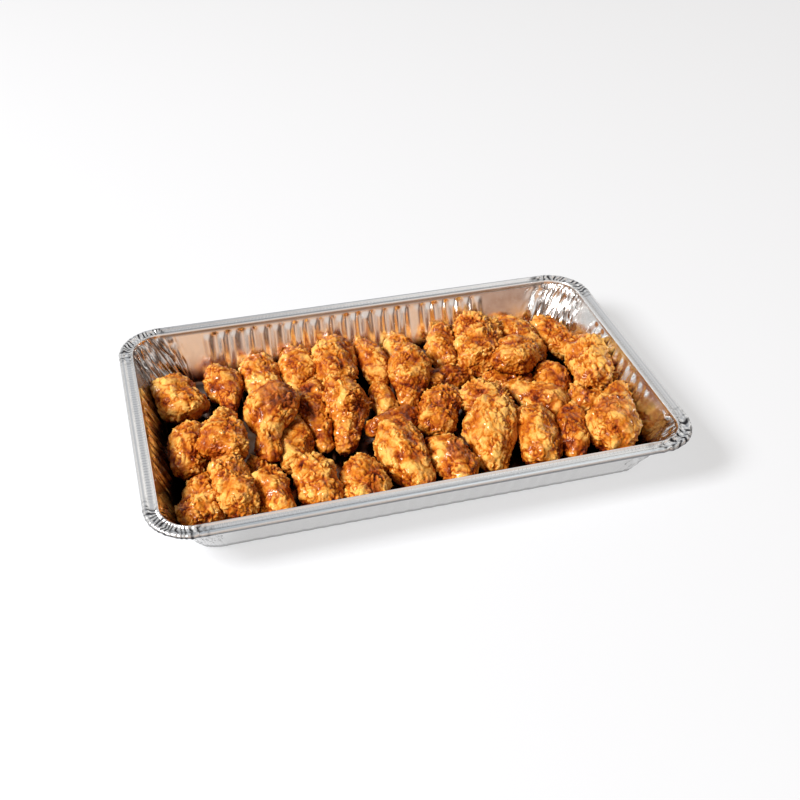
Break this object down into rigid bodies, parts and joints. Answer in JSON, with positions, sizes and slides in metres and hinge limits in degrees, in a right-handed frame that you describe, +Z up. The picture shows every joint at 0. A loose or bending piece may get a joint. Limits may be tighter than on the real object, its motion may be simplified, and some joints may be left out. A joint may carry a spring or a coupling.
{
  "type": "foil pan of fried chicken wings",
  "caption": "Oblong foil catering pan with fluted walls and a curled rim, filled with a bed of craggy fried chicken wings that rise a little over the rim.",
  "frame": {"origin": "middle of the pan's underside, at the bottom centre of the bounding box", "axes": "+X along the pan's length to the right, +Y across it to the far side, +Z up"},
  "size_m": [0.527, 0.325, 0.0578],
  "materials": {
    "foil": "bright foil, fluted and crimped",
    "fried_crust": "craggy golden fried crust with an oily sheen"
  },
  "bodies": {
    "root": {"foil_pan": "foil", "wing_01": "fried_crust", "wing_02": "fried_crust", "wing_03": "fried_crust", "wing_04": "fried_crust", "wing_05": "fried_crust", "wing_06": "fried_crust", "wing_07": "fried_crust", "wing_08": "fried_crust", "wing_09": "fried_crust", "wing_10": "fried_crust", "wing_11": "fried_crust", "wing_12": "fried_crust", "wing_13": "fried_crust", "wing_14": "fried_crust", "wing_15": "fried_crust", "wing_16": "fried_crust", "wing_17": "fried_crust", "wing_18": "fried_crust", "wing_19": "fried_crust", "wing_20": "fried_crust", "wing_21": "fried_crust", "wing_22": "fried_crust", "wing_23": "fried_crust", "wing_24": "fried_crust", "wing_25": "fried_crust", "wing_26": "fried_crust", "wing_27": "fried_crust", "wing_28": "fried_crust", "wing_29": "fried_crust", "wing_30": "fried_crust", "wing_31": "fried_crust", "wing_32": "fried_crust", "wing_33": "fried_crust", "wing_34": "fried_crust", "wing_35": "fried_crust", "wing_36": "fried_crust", "wing_37": "fried_crust", "wing_38": "fried_crust", "wing_39": "fried_crust", "wing_40": "fried_crust", "wing_41": "fried_crust", "wing_42": "fried_crust"}
  },
  "joints": []
}
